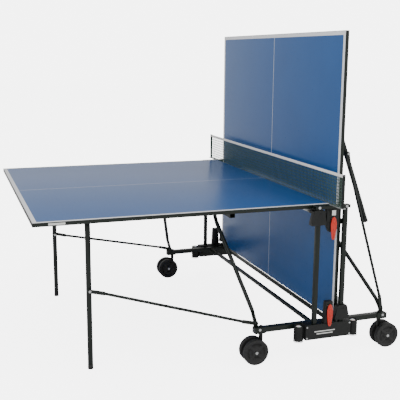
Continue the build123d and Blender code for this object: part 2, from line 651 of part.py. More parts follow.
# ---- sliders run on the posts; each carries a stub that its half turns on
def slider():
    """Made round the pivot: X = 0 is the pivot, Z = 0 its height."""
    mid = POST_X - PIVOT_X
    top = SLIDER_TOP_WIDTH / 2
    base = SLIDER_BASE_WIDTH / 2
    body = side_plate([(mid - base, -SLIDER_DOWN), (mid + base, -SLIDER_DOWN),
                       (mid + base, -SLIDER_DOWN + 14), (mid + top, SLIDER_UP - 6),
                       (mid + top - 6, SLIDER_UP), (mid - top + 6, SLIDER_UP),
                       (mid - top, SLIDER_UP - 6), (mid - base, -SLIDER_DOWN + 14)],
                      -SLIDER_OUT, -SLIDER_IN)
    front = body.faces().sort_by(Axis.Y)[0]
    body = fillet(front.edges(), 2)
    half = POST_SIZE / 2 + SLIDE_CLEAR
    body -= slab(mid - half, mid + half, -POST_Y - half, -POST_Y + half,
                 -SLIDER_DOWN - 1, SLIDER_UP + 1)
    body -= slab(mid - 7, mid + 7, -SLIDER_OUT - 1, -SLIDER_OUT + 2.5, -10, 0)
    return body - rod_y(STUB_NECK + FIT, -SLIDER_IN - NECK_DEPTH, -SLIDER_IN + 1, 0, 0)


STUB_END = SHELF_IN - STUB_GAP - STUB_EAR


def stub():
    body = rod_y(STUB_RADIUS, -SLIDER_IN, -STUB_END + STUB_GAP, 0, 0)
    body += rod_y(STUB_RADIUS + 3, -STUB_END + STUB_GAP, -STUB_END + STUB_GAP + 3, 0, 0)
    return body + rod_y(STUB_NECK, -SLIDER_IN - NECK_DEPTH, -SLIDER_IN, 0, 0)


# ---- leg frame, made hanging below its hinge line at the origin
def leg_path():
    down = LEG_HINGE_Z - FOOT_HEIGHT
    a = LEG_HALF_SPAN
    r = LEG_BEND
    k = r * (1 - sqrt(0.5))
    return (Line((0, -a, -down), (0, -a, -r))
            + ThreePointArc((0, -a, -r), (0, -a + k, -k), (0, -a + r, 0))
            + Line((0, -a + r, 0), (0, a - r, 0))
            + ThreePointArc((0, a - r, 0), (0, a - k, -k), (0, a, -r))
            + Line((0, a, -r), (0, a, -down)))


def leg_frame():
    down = LEG_HINGE_Z - FOOT_HEIGHT
    start = Plane(origin=(0, -LEG_HALF_SPAN, -down), z_dir=(0, 0, 1))
    path = leg_path()
    outer = sweep(start * Circle(LEG_RADIUS), path=path)
    inner = sweep(start * Circle(LEG_RADIUS - LEG_WALL), path=path)
    body = outer - inner
    for side in (-1, 1):
        y = side * LEG_HALF_SPAN
        body -= rod_y(BOLT_RADIUS + FIT, y - LEG_RADIUS - 1, y + LEG_RADIUS + 1, 0, -BOLT_DOWN)
    return body


def foot_cap():
    """Rubber cap below the tube's end, with a plug that goes up inside it."""
    y = -LEG_HALF_SPAN
    low = -LEG_HINGE_Z
    body = rod_z(LEG_RADIUS + 0.5, low, low + FOOT_HEIGHT, 0, y)
    body = fillet(body.edges().group_by(Axis.Z)[0], 2)
    return body + rod_z(LEG_RADIUS - LEG_WALL - 0.1, low + FOOT_HEIGHT - 1,
                        low + FOOT_HEIGHT + 18, 0, y)


def leg_bolt():
    """Carries the link: head outside the link's eye, nut inside the leg."""
    seat = -LINK_TOP_Y - BAR_TAB_THICK / 2 - STUB_GAP
    inner = -LEG_HALF_SPAN + LEG_RADIUS
    body = bolt_y(inner, seat, 0, -BOLT_DOWN)
    return body + hex_y(HEAD_RADIUS, inner, inner + HEAD_THICK, 0, -BOLT_DOWN)


# ---- bars with an eye at each end, made standing on their lower pivot at the origin
def bar(length, radius, foot_y, top_y):
    half = BAR_TAB_THICK / 2
    body = rod_y(BAR_EYE, foot_y - half, foot_y + half, 0, 0)
    body += slab(-BAR_EYE + 2, BAR_EYE - 2, foot_y - half, foot_y + half, 0, BAR_TAB)
    body += rod_y(BAR_EYE, top_y - half, top_y + half, 0, length)
    body += slab(-BAR_EYE + 2, BAR_EYE - 2, top_y - half, top_y + half, length - BAR_TAB, length)
    run = length - 2 * BAR_TAB + 2 * TUBE_LAP
    rise = top_y - foot_y
    lean = degrees(atan2(rise, run))
    span = sqrt(run ** 2 + rise ** 2)
    tube = Pos(0, (foot_y + top_y) / 2, length / 2) * Rot(-lean, 0, 0) * Cylinder(radius, span)
    body += tube
    for y, z in ((foot_y, 0), (top_y, length)):
        body -= rod_y(BOLT_RADIUS + FIT, y - half - 1, y + half + 1, 0, z)
    return body


def brace():
    return bar(BRACE_LENGTH, BRACE_RADIUS, -BRACE_FOOT_Y, -BRACE_TOP_Y)


def link():
    return bar(LINK_LENGTH, LINK_RADIUS, -LINK_FOOT_Y, -LINK_TOP_Y)


def lean_from(x, z):
    """Angle about Y that leans an upright bar from the ear pivot to (x, z)."""
    return degrees(atan2(x - EAR_X, z - EAR_Z))


BRACE_PLAY = lean_from(BRACE_ALONG, TABLE_HEIGHT - BRACE_DEPTH)
BRACE_STORED = lean_from(UPRIGHT_X + BRACE_DEPTH, FOLD_BASE + BRACE_ALONG)
LINK_PLAY = lean_from(LEG_ALONG, LEG_HINGE_Z - BOLT_DOWN)
LINK_STORED = lean_from(STORED_HINGE_X + BOLT_DOWN * sin(LEAN),
                        STORED_HINGE_Z - BOLT_DOWN * cos(LEAN))

# The left end is in play and the right end stored.
for end, place in (("left", in_play), ("right", stored)):
    save(f"board_{end}", [place(board())])
    save(f"edge_frame_{end}", [place(rim())])
    save(f"cross_beam_{end}", [place(cross_beam())])
    brackets = pair(stub_bracket()) + pair(brace_bracket()) + pair(leg_saddle())
    save(f"brackets_{end}", [place(b) for b in brackets])
    save(f"brace_bolts_{end}", [place(b) for b in pair(brace_bolt())])

STORED_PIVOT_Z = FOLD_BASE + PIVOT_X


def slider_at(shape, end):
    if end == "left":
        return turn(Pos(PIVOT_X, 0, PIVOT_Z) * shape)
    return Pos(PIVOT_X, 0, STORED_PIVOT_Z) * shape


def leg_at(shape, end):
    if end == "left":
        return turn(Pos(LEG_ALONG, 0, LEG_HINGE_Z) * shape)
    return Pos(STORED_HINGE_X, 0, STORED_HINGE_Z) * Rot(0, -LEG_LEAN, 0) * shape


def bar_at(shape, lean, end):
    body = Pos(EAR_X, 0, EAR_Z) * Rot(0, lean, 0) * shape
    return turn(body) if end == "left" else body


for end, brace_lean, link_lean in (("left", BRACE_PLAY, LINK_PLAY),
                                   ("right", BRACE_STORED, LINK_STORED)):
    save(f"sliders_{end}", [slider_at(s, end) for s in pair(slider())])
    save(f"slider_stubs_{end}", [slider_at(s, end) for s in pair(stub())])
    save(f"leg_frame_{end}", [leg_at(leg_frame(), end)])
    save(f"foot_caps_{end}", [leg_at(s, end) for s in pair(foot_cap())])
    save(f"leg_bolts_{end}", [leg_at(s, end) for s in pair(leg_bolt())])
    save(f"braces_{end}", [bar_at(s, brace_lean, end) for s in pair(brace())])
    save(f"links_{end}", [bar_at(s, link_lean, end) for s in pair(link())])
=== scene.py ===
"""Ping pong table: the looks of a folding table on a wheeled trolley."""
import json
import math

import bmesh
import bpy
from mathutils import Matrix, Vector

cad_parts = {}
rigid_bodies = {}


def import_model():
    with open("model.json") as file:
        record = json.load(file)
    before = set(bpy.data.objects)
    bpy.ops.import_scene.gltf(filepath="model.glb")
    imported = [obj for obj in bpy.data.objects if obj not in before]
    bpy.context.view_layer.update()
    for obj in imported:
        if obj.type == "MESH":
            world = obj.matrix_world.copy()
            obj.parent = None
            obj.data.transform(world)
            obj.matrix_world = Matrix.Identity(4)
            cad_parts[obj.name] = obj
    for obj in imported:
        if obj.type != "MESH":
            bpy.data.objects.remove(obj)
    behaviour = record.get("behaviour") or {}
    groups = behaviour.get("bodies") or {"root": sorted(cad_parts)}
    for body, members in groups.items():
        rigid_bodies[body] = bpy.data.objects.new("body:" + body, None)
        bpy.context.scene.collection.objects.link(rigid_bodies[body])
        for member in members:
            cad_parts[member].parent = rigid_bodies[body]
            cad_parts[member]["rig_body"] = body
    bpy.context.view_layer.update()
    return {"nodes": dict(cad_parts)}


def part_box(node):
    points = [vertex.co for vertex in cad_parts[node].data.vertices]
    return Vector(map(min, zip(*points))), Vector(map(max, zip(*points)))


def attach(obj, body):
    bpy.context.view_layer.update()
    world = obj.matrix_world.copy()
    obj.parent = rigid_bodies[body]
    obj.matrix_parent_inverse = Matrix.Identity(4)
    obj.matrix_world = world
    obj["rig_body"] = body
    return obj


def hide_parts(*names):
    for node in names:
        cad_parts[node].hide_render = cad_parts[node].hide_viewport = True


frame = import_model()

bl_info = {
    "name": "Ping Pong Table",
    "version": (1, 0, 0),
    "blender": (4, 5, 0),
    "location": "View3D > Sidebar > Table",
    "description": "Builds the finished surfaces, net, wheels and fittings of a folding table",
    "category": "Object",
}

MM = 0.001
ENDS = ("left", "right")
SIDES = ("near", "far")
LEAST_FLAT = 0.6         # degrees; faces flatter to each other than this are one face
NODES = frame["nodes"]


# ---------------------------------------------------------------- small tools
def linear(hex_code):
    """A linear RGBA colour from an sRGB hex value."""
    out = []
    for i in (1, 3, 5):
        c = int(hex_code[i:i + 2], 16) / 255
        out.append(c / 12.92 if c <= 0.04045 else ((c + 0.055) / 1.055) ** 2.4)
    return (*out, 1.0)


def add(tree, kind, inputs=None, **settings):
    """Adds a node, sets it, and links or fills its inputs by name or number."""
    made = tree.nodes.new(kind)
    for key, value in settings.items():
        setattr(made, key, value)
    for key, value in (inputs or {}).items():
        if isinstance(value, bpy.types.NodeSocket):
            tree.links.new(value, made.inputs[key])
        else:
            made.inputs[key].default_value = value
    return made


def finish_mesh(name, bm, materials, body, replaces=(), angle=40.0):
    """Turns a bmesh into a piece that rides on a body."""
    mesh = bpy.data.meshes.new(name)
    bm.to_mesh(mesh)
    bm.free()
    return finish_object(name, mesh, materials, body, replaces, angle)


def finish_object(name, mesh, materials, body, replaces=(), angle=40.0):
    if mesh.materials:
        mesh.materials.clear()
    for material in materials:
        mesh.materials.append(material)
    for polygon in mesh.polygons:
        polygon.use_smooth = True
    mesh.set_sharp_from_angle(angle=math.radians(angle))
    piece = bpy.data.objects.new(name, mesh)
    bpy.context.scene.collection.objects.link(piece)
    bpy.context.view_layer.update()
    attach(piece, body)
    if replaces:
        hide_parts(*replaces)
    return piece


def body_of(node):
    return NODES[node]["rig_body"]


def merged(node):
    """A CAD node's shape as one joined bmesh."""
    bm = bmesh.new()
    bm.from_mesh(NODES[node].data)
    bmesh.ops.remove_doubles(bm, verts=bm.verts, dist=1e-5)
    return bm


def node_group(name, sockets):
    """A Geometry Nodes group; its inputs are given as (name, socket kind, default)."""
    tree = bpy.data.node_groups.new(name, "GeometryNodeTree")
    tree.interface.new_socket("Geometry", in_out="INPUT", socket_type="NodeSocketGeometry")
    tree.interface.new_socket("Geometry", in_out="OUTPUT", socket_type="NodeSocketGeometry")
    for label, kind, value in sockets:
        tree.interface.new_socket(label, in_out="INPUT",
                                  socket_type=f"NodeSocket{kind}").default_value = value
    return tree, add(tree, "NodeGroupInput").outputs


def close_group(tree, parts, material):
    """Ends a group: joins its parts, makes them real and gives them their material."""
    joined = add(tree, "GeometryNodeJoinGeometry")
    for part in parts:
        tree.links.new(part.outputs[0], joined.inputs[0])
    real = add(tree, "GeometryNodeRealizeInstances", {0: joined.outputs[0]})
    done = add(tree, "GeometryNodeSetMaterial", {0: real.outputs[0], "Material": material})
    add(tree, "NodeGroupOutput", {0: done.outputs[0]})


def grown(tree, mesh, values):
    """The plain mesh that a group makes from a mesh, with the given inputs."""
    source = bpy.data.objects.new(tree.name, mesh)
    bpy.context.scene.collection.objects.link(source)
    modifier = source.modifiers.new(tree.name, "NODES")
    modifier.node_group = tree
    for item in tree.interface.items_tree:
        if item.in_out == "INPUT" and item.name in values:
            modifier[item.identifier] = values[item.name]
    bpy.context.view_layer.update()
    graph = bpy.context.evaluated_depsgraph_get()
    made = bpy.data.meshes.new_from_object(source.evaluated_get(graph))
    bpy.data.objects.remove(source)
    return made


def seeds(name, points, **attributes):
    """A mesh of loose points, with a vector attribute for each name given."""
    mesh = bpy.data.meshes.new(name)
    mesh.from_pydata([tuple(p) for p in points], [], [])
    for key, rows in attributes.items():
        layer = mesh.attributes.new(key, "FLOAT_VECTOR", "POINT")
        layer.data.foreach_set("vector", [c for row in rows for c in row])
    return mesh


def plate(name, centre, size, material, body):
    """A thin printed or stuck-on rectangle, with its sides along the axes."""
    bm = bmesh.new()
    bmesh.ops.create_cube(bm, size=1)
    bm.transform(Matrix.Translation(centre) @ Matrix.Diagonal((*size, 1)))
    return finish_mesh(name, bm, [material], body)


def islands(node):
    """The separate solids of a node, as lists of their points."""
    bm = merged(node)
    seen, out = set(), []
    for start in bm.verts:
        if start in seen:
            continue
        group, stack = [], [start]
        seen.add(start)
        while stack:
            v = stack.pop()
            group.append(v.co.copy())
            for e in v.link_edges:
                w = e.other_vert(v)
                if w not in seen:
                    seen.add(w)
                    stack.append(w)
        out.append(group)
    bm.free()
    return out


def limits(points):
    lo = Vector([min(p[i] for p in points) for i in range(3)])
    hi = Vector([max(p[i] for p in points) for i in range(3)])
    return lo, hi


def softened(name, node, material, bevel=0.8, corner=32.0, angle=40.0, longest=6.0,
             other=None, chosen=None):
    """A CAD node with its hard edges rounded as folded, drawn or moulded stock has them."""
    bm = merged(node)
    bmesh.ops.dissolve_limit(bm, angle_limit=math.radians(LEAST_FLAT), verts=bm.verts,
                             edges=bm.edges, delimit={"NORMAL"})
    least = longest * MM
    hard = [e for e in bm.edges if e.is_manifold and e.calc_length() > least
            and e.calc_face_angle(0.0) > math.radians(corner)]
    if hard and bevel:
        bmesh.ops.bevel(bm, geom=hard, offset=bevel * MM, segments=2, profile=0.5,
                        affect="EDGES", clamp_overlap=True)
    bmesh.ops.triangulate(bm, faces=[f for f in bm.faces if len(f.verts) > 4])
    materials = [material]
    if other:
        materials.append(other)
        for face in bm.faces:
            face.material_index = int(chosen(face.calc_center_median()))
    return finish_mesh(name, bm, materials, body_of(node), [node], angle)


def loft(bm, rings):
    """Joins rings of points into a closed skin, with flat ends."""
    rows = [[bm.verts.new(p) for p in ring] for ring in rings]
    count = len(rows[0])
    for a, b in zip(rows, rows[1:]):
        for i in range(count):
            j = (i + 1) % count
            bm.faces.new((a[i], a[j], b[j], b[i]))
    bm.faces.new(rows[0])
    bm.faces.new(list(reversed(rows[-1])))


def tidy_normals(bm):
    bmesh.ops.remove_doubles(bm, verts=bm.verts, dist=1e-6)
    bmesh.ops.recalc_face_normals(bm, faces=bm.faces)
    bm.normal_update()


def end_matrix(end):
    """Places a half made lying at +X, its playing surface at Z = 0."""
    if end == "left":
        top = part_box("board_left")[1].z
        return Matrix.Translation((0, 0, top)) @ Matrix.Rotation(math.pi, 4, "Z")
    low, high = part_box("edge_frame_right")
    return (Matrix.Translation((low.x, 0, high.z - HALF_LENGTH))
            @ Matrix.Rotation(-math.pi / 2, 4, "Y"))


HALF_LENGTH = -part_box("edge_frame_left")[0].x
HALF_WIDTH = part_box("edge_frame_left")[1].y


# ---------------------------------------------------------------- settings
class BoardSettings(bpy.types.PropertyGroup):
    """Sizes and colours of the two lacquered boards."""
    side_line: bpy.props.FloatProperty(
        name="Edge line", description="Width of the white line along sides and end",
        default=0.020, unit="LENGTH")
    centre_line: bpy.props.FloatProperty(
        name="Centre line", description="Width of the white line down the middle",
        default=0.003, unit="LENGTH")
    edge_round: bpy.props.FloatProperty(
        name="Edge rounding", description="Radius of the board's upper edge",
        default=0.0008, unit="LENGTH")
    lacquer: bpy.props.StringProperty(
        name="Lacquer", description="Colour of the playing surface, sRGB hex", default="#1d528f")
    line_paint: bpy.props.StringProperty(
        name="Line paint", description="Colour of the lines, sRGB hex", default="#e6e7ea")
    underside: bpy.props.StringProperty(
        name="Underside", description="Colour of the back of the boards, sRGB hex",
        default="#1f3f78")


class NetSettings(bpy.types.PropertyGroup):
    """Sizes and colours of the net."""
    mesh_size: bpy.props.FloatProperty(
        name="Mesh size", description="Knot to knot distance", default=0.015, unit="LENGTH")
    twine: bpy.props.FloatProperty(
        name="Twine radius", description="Radius of the net's twine", default=0.0015,
        unit="LENGTH")
    stitch: bpy.props.FloatProperty(
        name="Stitch pitch", description="Distance from stitch to stitch on the tape",
        default=0.006, unit="LENGTH")
    cover: bpy.props.FloatProperty(
        name="Cover", description="Share of the net's area that is twine and knots",
        default=0.65)
    twine_colour: bpy.props.StringProperty(
        name="Twine colour", description="sRGB hex", default="#25443a")
    tape_colour: bpy.props.StringProperty(
        name="Tape colour", description="sRGB hex", default="#f1efec")


class FrameSettings(bpy.types.PropertyGroup):
    """Colours of the frame and its mouldings."""
    powder_coat: bpy.props.StringProperty(
        name="Powder coat", description="Colour of the steel frame, sRGB hex",
        default="#0f1411")
    moulding: bpy.props.StringProperty(
        name="Mouldings", description="Colour of the black plastic, sRGB hex",
        default="#0f1110")
    rib_pitch: bpy.props.FloatProperty(
        name="Rib pitch", description="Distance between the rings round a ball tube",
        default=0.009, unit="LENGTH")
    rib_rise: bpy.props.FloatProperty(
        name="Rib rise", description="Height of the lowest ring above the lowest ball's foot",
        default=0.003, unit="LENGTH")
    lever: bpy.props.StringProperty(
        name="Levers", description="Colour of the lock levers, sRGB hex", default="#c8280f")


class StageSettings(bpy.types.PropertyGroup):
    """Camera and light."""
    eye: bpy.props.FloatVectorProperty(
        name="Camera", description="Where the camera stands", default=(-1.6745, -3.7246, 1.4419),
        size=3, subtype="TRANSLATION")
    heading: bpy.props.FloatProperty(
        name="Heading", description="The camera's turn from straight along the net",
        default=math.radians(-19.147), subtype="ANGLE")
    dip: bpy.props.FloatProperty(
        name="Dip", description="The camera's downward tilt", default=math.radians(11.299),
        subtype="ANGLE")
    roll: bpy.props.FloatProperty(
        name="Roll", description="The camera's turn about its own axis",
        default=math.radians(0.411), subtype="ANGLE")
    daylight: bpy.props.FloatProperty(
        name="Daylight", description="Strength of the light from all round", default=0.9)
    backdrop: bpy.props.FloatProperty(
        name="Backdrop", description="Extra brightness of the backdrop to the camera",
        default=5.0)
    lens: bpy.props.FloatProperty(
        name="Lens", description="Focal length on a 36 mm sensor, in millimetres",
        default=65.72)


# ---------------------------------------------------------------- materials
def surface(name, colour, roughness, **values):
    """A material with its Principled shader; the colour is sRGB hex."""
    material = bpy.data.materials.new(name)
    material.use_nodes = True
    tree = material.node_tree
    tree.nodes.clear()
    shader = add(tree, "ShaderNodeBsdfPrincipled", {
        "Base Color": linear(colour), "Roughness": roughness,
        **{key.replace("_", " "): value for key, value in values.items()}})
    add(tree, "ShaderNodeOutputMaterial", {"Surface": shader.outputs["BSDF"]})
    material.diffuse_color = linear(colour)
    return material, tree, shader


def place(tree):
    return add(tree, "ShaderNodeTexCoord").outputs["Object"]


def grains(tree, at, size_mm, detail=2.0, rough=0.5):
    """Noise whose features are about size_mm wide."""
    return add(tree, "ShaderNodeTexNoise", {
        "Vector": at, "Scale": 1000.0 / size_mm, "Detail": detail,
        "Roughness": rough}).outputs["Fac"]


def spread(tree, value, low, high):
    """Maps the middle of a noise to the range low to high."""
    return add(tree, "ShaderNodeMapRange", {
        "Value": value, "From Min": 0.3, "From Max": 0.7, "To Min": low,
        "To Max": high}).outputs["Result"]


def shade(tree, value, dark, light):
    """A colour that runs from dark to light with the value."""
    return add(tree, "ShaderNodeMix", {0: value, 6: linear(dark), 7: linear(light)},
               data_type="RGBA").outputs[2]


def relief(tree, shader, height, depth_mm, strength=1.0, under=None):
    inputs = {"Height": height, "Distance": depth_mm * MM, "Strength": strength}
    if under is not None:
        inputs["Normal"] = under
    bump = add(tree, "ShaderNodeBump", inputs).outputs["Normal"]
    tree.links.new(bump, shader.inputs["Normal"])
    return bump


def maths(tree, operation, a, b=None):
    inputs = {0: a}
    if b is not None:
        inputs[1] = b
    return add(tree, "ShaderNodeMath", inputs, operation=operation).outputs["Value"]


def lacquered_board(cfg):
    """Roller-coated acrylic lacquer on chipboard: satin, with the faintest waviness, and
    screen-printed lines that stand a hair above it and shine a little less."""
    material, tree, shader = surface("Acrylic lacquer on chipboard", cfg.lacquer, 0.3, IOR=1.42)
    at = add(tree, "ShaderNodeUVMap", uv_map="surface").outputs["UV"]
    split = add(tree, "ShaderNodeSeparateXYZ", {"Vector": at})
    across = maths(tree, "ABSOLUTE", split.outputs["Y"])
    sides = maths(tree, "GREATER_THAN", across, HALF_WIDTH - cfg.side_line)
    outer = maths(tree, "GREATER_THAN", split.outputs["X"], HALF_LENGTH - cfg.side_line)
    middle = maths(tree, "LESS_THAN", across, cfg.centre_line / 2)
    lines = maths(tree, "MAXIMUM", maths(tree, "MAXIMUM", sides, outer), middle)
    cloud = grains(tree, at, 260, 3)
    blue = shade(tree, spread(tree, cloud, 0.35, 0.65), "#194c86", "#205896")
    paint = add(tree, "ShaderNodeMix", {0: lines, 6: blue, 7: linear(cfg.line_paint)},
                data_type="RGBA").outputs[2]
    tree.links.new(paint, shader.inputs["Base Color"])
    scuff = spread(tree, grains(tree, at, 9, 4, 0.6), 0.27, 0.34)
    dull = maths(tree, "MULTIPLY", lines, 0.12)
    tree.links.new(maths(tree, "ADD", scuff, dull), shader.inputs["Roughness"])
    wave = relief(tree, shader, grains(tree, at, 3.0, 1), 0.01, 0.25)
    relief(tree, shader, lines, 0.05, 0.4, wave)
    return material


def painted_underside(cfg):
    """Sealing coat rolled on the back of the board: flat, with the chips just showing."""
    material, tree, shader = surface("Sealing paint on chipboard", cfg.underside, 0.55)
    at = place(tree)
    chips = add(tree, "ShaderNodeTexVoronoi", {"Vector": at, "Scale": 1000 / 4.5,
                                              "Randomness": 1.0}).outputs["Distance"]
    tone = shade(tree, spread(tree, grains(tree, at, 30, 4), 0.2, 0.8), "#1b3869", "#23477f")
    tree.links.new(tone, shader.inputs["Base Color"])
    relief(tree, shader, chips, 0.15, 0.35)
    return material


def powder_coat(cfg):
    """Baked polyester powder on steel: a fine orange peel, satin, dark with a green cast.
    The peel is about 1.2 mm across; it is drawn at 2.5 mm so that it shows."""
    material, tree, shader = surface("Powder-coated steel", cfg.powder_coat, 0.38, IOR=1.4)
    at = place(tree)
    tone = shade(tree, spread(tree, grains(tree, at, 60, 3), 0.2, 0.8), "#0a110c", "#101a13")
    tree.links.new(tone, shader.inputs["Base Color"])
    tree.links.new(spread(tree, grains(tree, at, 14, 3), 0.32, 0.44), shader.inputs["Roughness"])
    relief(tree, shader, grains(tree, at, 2.5, 2), 0.12, 0.35)
    return material


def black_moulding(cfg, name, grain_mm, low, high):
    """Moulded black ABS with a spark-eroded grain: matt, the grain catching the light."""
    material, tree, shader = surface(name, cfg.moulding, 0.5, IOR=1.4)
    at = place(tree)
    tone = shade(tree, spread(tree, grains(tree, at, 40, 3), 0.2, 0.8), "#0c0e0d", "#141615")
    tree.links.new(tone, shader.inputs["Base Color"])
    tree.links.new(spread(tree, grains(tree, at, 10, 3), low, high), shader.inputs["Roughness"])
    relief(tree, shader, grains(tree, at, grain_mm, 2), 0.10, 0.5)
    return material


def red_abs(cfg):
    """Polished red ABS: glossy, warm where light gets a little way in."""
    material, tree, shader = surface("Red moulded ABS", cfg.lever, 0.3, IOR=1.53,
                                     Subsurface_Weight=0.08, Subsurface_Scale=0.004)
    at = place(tree)
    tone = shade(tree, spread(tree, grains(tree, at, 25, 3), 0.25, 0.75), "#c5210a", "#d42a0d")
    tree.links.new(tone, shader.inputs["Base Color"])
    tree.links.new(spread(tree, grains(tree, at, 6, 3), 0.25, 0.38), shader.inputs["Roughness"])
    relief(tree, shader, grains(tree, at, 1.6, 1), 0.03, 0.4)
    return material


def wheel_rubber():
    """Soft black polyurethane tread: dull, scuffed paler where it rolls."""
    material, tree, shader = surface("Moulded polyurethane tyre", "#1a1a1a", 0.6)
    at = place(tree)
    tone = shade(tree, spread(tree, grains(tree, at, 12, 4), 0.1, 0.9), "#0e0e0e", "#191919")
    tree.links.new(tone, shader.inputs["Base Color"])
    tree.links.new(spread(tree, grains(tree, at, 5, 3), 0.5, 0.72), shader.inputs["Roughness"])
    relief(tree, shader, grains(tree, at, 1.5, 3), 0.12, 0.5)
    return material


def foot_rubber():
    """Injection-moulded rubber: matt, with a dusty bloom."""
    material, tree, shader = surface("Moulded rubber", "#141514", 0.75)
    at = place(tree)
    tone = shade(tree, spread(tree, grains(tree, at, 8, 4), 0.1, 0.9), "#111211", "#242524")
    tree.links.new(tone, shader.inputs["Base Color"])
    relief(tree, shader, grains(tree, at, 1.2, 3), 0.12, 0.5)
    return material


def zinc_plate(name, colour, low, high):
    """Bright zinc plating: metal with a faint cloudy bloom and fine drawing marks."""
    material, tree, shader = surface(name, colour, 0.3, Metallic=1.0)
    at = place(tree)
    tone = shade(tree, spread(tree, grains(tree, at, 7, 4), 0.1, 0.9), "#a9abad", "#d5d6d4")
    tree.links.new(tone, shader.inputs["Base Color"])
    tree.links.new(spread(tree, grains(tree, at, 3, 3), low, high), shader.inputs["Roughness"])
    relief(tree, shader, grains(tree, at, 0.8, 2), 0.02, 0.4)
    return material


def net_twine(cfg):
    """Twisted nylon twine, dyed dark green: the lay of its strands shows as a slant ripple,
    in bump and in colour; the colour's darker bands are painted shade in the grooves.
    """
    material, tree, shader = surface("Twisted nylon twine", cfg.twine_colour, 0.6,
                                     Sheen_Weight=0.15)
    at = place(tree)
    lay = add(tree, "ShaderNodeTexWave", {"Vector": at, "Scale": 1000 / 2.2 / math.tau,
                                          "Distortion": 0.4},
              wave_type="BANDS", bands_direction="DIAGONAL").outputs["Fac"]
    # painted shade: where the lay is low, in the grooves between the strands, the colour is
    # darker
    tone = shade(tree, lay, "#1f3a31", "#2d5145")
    tree.links.new(tone, shader.inputs["Base Color"])
    relief(tree, shader, lay, 0.2, 0.6)
    return material


def tape_cotton(cfg):
    """Woven cotton binding tape: a twill about 1.4 mm in the cloth, drawn at 3 mm to show;
    the twill's darker bands are painted shade in the grooves of the weave.
    """
    material, tree, shader = surface("Woven cotton tape", cfg.tape_colour, 0.85,
                                     Sheen_Weight=0.2)
    at = place(tree)
    turned = add(tree, "ShaderNodeMapping", {"Vector": at,
                                             "Rotation": (math.radians(35), 0, 0)})
    twill = add(tree, "ShaderNodeTexWave", {"Vector": turned.outputs["Vector"],
                                            "Scale": 1000 / 3.0 / math.tau, "Distortion": 0.6},
                wave_type="BANDS", bands_direction="Y").outputs["Fac"]
    # painted shade: where the twill is low, in the grooves of the weave, the colour is darker
    tone = shade(tree, twill, "#dcd8d4", "#f7f5f2")
    tree.links.new(tone, shader.inputs["Base Color"])
    relief(tree, shader, twill, 0.25, 0.5)
    return material


def celluloid():
    """Ball celluloid: white, satin, very slightly let through by light."""
    material, tree, shader = surface("White celluloid", "#f4f2ec", 0.42, IOR=1.49,
                                     Subsurface_Weight=0.15, Subsurface_Scale=0.006)
    at = place(tree)
    tone = shade(tree, spread(tree, grains(tree, at, 12, 3), 0.2, 0.8), "#efede6", "#faf8f3")
    tree.links.new(tone, shader.inputs["Base Color"])
    relief(tree, shader, grains(tree, at, 1.0, 2), 0.02, 0.3)
    return material


def print_ink():
    """Pad-printed pale ink: thin and even, a little chalky."""
    material, tree, shader = surface("Pad-printed ink", "#d9dad6", 0.5)
    at = place(tree)
    tone = shade(tree, spread(tree, grains(tree, at, 3, 3), 0.2, 0.8), "#cfd0cc", "#e2e3df")
    tree.links.new(tone, shader.inputs["Base Color"])
    return material


MATERIALS = {}


def make_materials():
    boards = bpy.context.scene.table_boards
    net = bpy.context.scene.table_net
    cfg = bpy.context.scene.table_frame
    MATERIALS.update(
        lacquer=lacquered_board(boards),
        underside=painted_underside(boards),
        steel=powder_coat(cfg),
        moulding=black_moulding(cfg, "Moulded ABS with spark grain", 1.4, 0.45, 0.6),
        nylon=black_moulding(cfg, "Glass-filled nylon", 2.2, 0.4, 0.55),
        red=red_abs(cfg),
        tyre=wheel_rubber(),
        rubber=foot_rubber(),
        zinc=zinc_plate("Zinc-plated steel", "#c3c5c6", 0.25, 0.42),
        strip=zinc_plate("Galvanised strip", "#cfd1d1", 0.35, 0.5),
        twine=net_twine(net),
        tape=tape_cotton(net),
        ball=celluloid(),
        ink=print_ink(),
    )


# ---------------------------------------------------------------- the boards
def make_board(end, cfg):
    """A lacquered board with eased edges; its UV map runs in metres from the net line."""
    node = f"board_{end}"
    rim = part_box(f"edge_frame_{end}")
    low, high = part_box(node)
    thick = min(high - low)
    inner = -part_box("board_left")[1].x
    outer = -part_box("board_left")[0].x
    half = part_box("board_left")[1].y
    bm = bmesh.new()
    r = cfg.edge_round
    profile = [(0, -thick), (0, -r)]
    profile += [(r * (1 - math.cos(a)), -r * (1 - math.sin(a)))
                for a in (math.radians(30), math.radians(60), math.radians(90))]
    rings = []
    for inset, z in profile:
        rings.append([Vector((inner + inset, -half + inset, z)),
                      Vector((outer - inset, -half + inset, z)),
                      Vector((outer - inset, half - inset, z)),
                      Vector((inner + inset, half - inset, z))])
    loft(bm, rings)
    tidy_normals(bm)
    uv = bm.loops.layers.uv.new("surface")
    for face in bm.faces:
        face.material_index = 0 if face.normal.z > -0.5 else 1
        for corner in face.loops:
            corner[uv].uv = (corner.vert.co.x, corner.vert.co.y)
    bm.transform(end_matrix(end))
    return finish_mesh(f"playing_board_{end}", bm,
                       [MATERIALS["lacquer"], MATERIALS["underside"]], body_of(node), [node],
                       50)


class TABLE_OT_boards(bpy.types.Operator):
    """Make the two lacquered boards and their folded steel edge frames"""
    bl_idname = "table.boards"
    bl_label = "Boards"

    def execute(self, context):
        for end in ENDS:
            make_board(end, context.scene.table_boards)
            softened(f"rim_{end}", f"edge_frame_{end}", MATERIALS["steel"], 0.5)
        return {"FINISHED"}


# ---------------------------------------------------------------- steel and mouldings
PLATED_REACH = 0.2      # the brackets this near a half's pivot end are zinc-plated, not painted


STEEL = {
    "rails": 1.5, "cross_tubes": 1.5, "end_brackets": 0.6, "posts": 1.5, "post_feet": 1.0,
    "post_bridges": 1.2, "net_posts": 0.0,
    "cross_beam_left": 1.5, "cross_beam_right": 1.5, "leg_frame_left": 0.0,
    "leg_frame_right": 0.0, "braces_left": 0.0,
    "braces_right": 0.0, "links_left": 0.0, "links_right": 0.0,
}


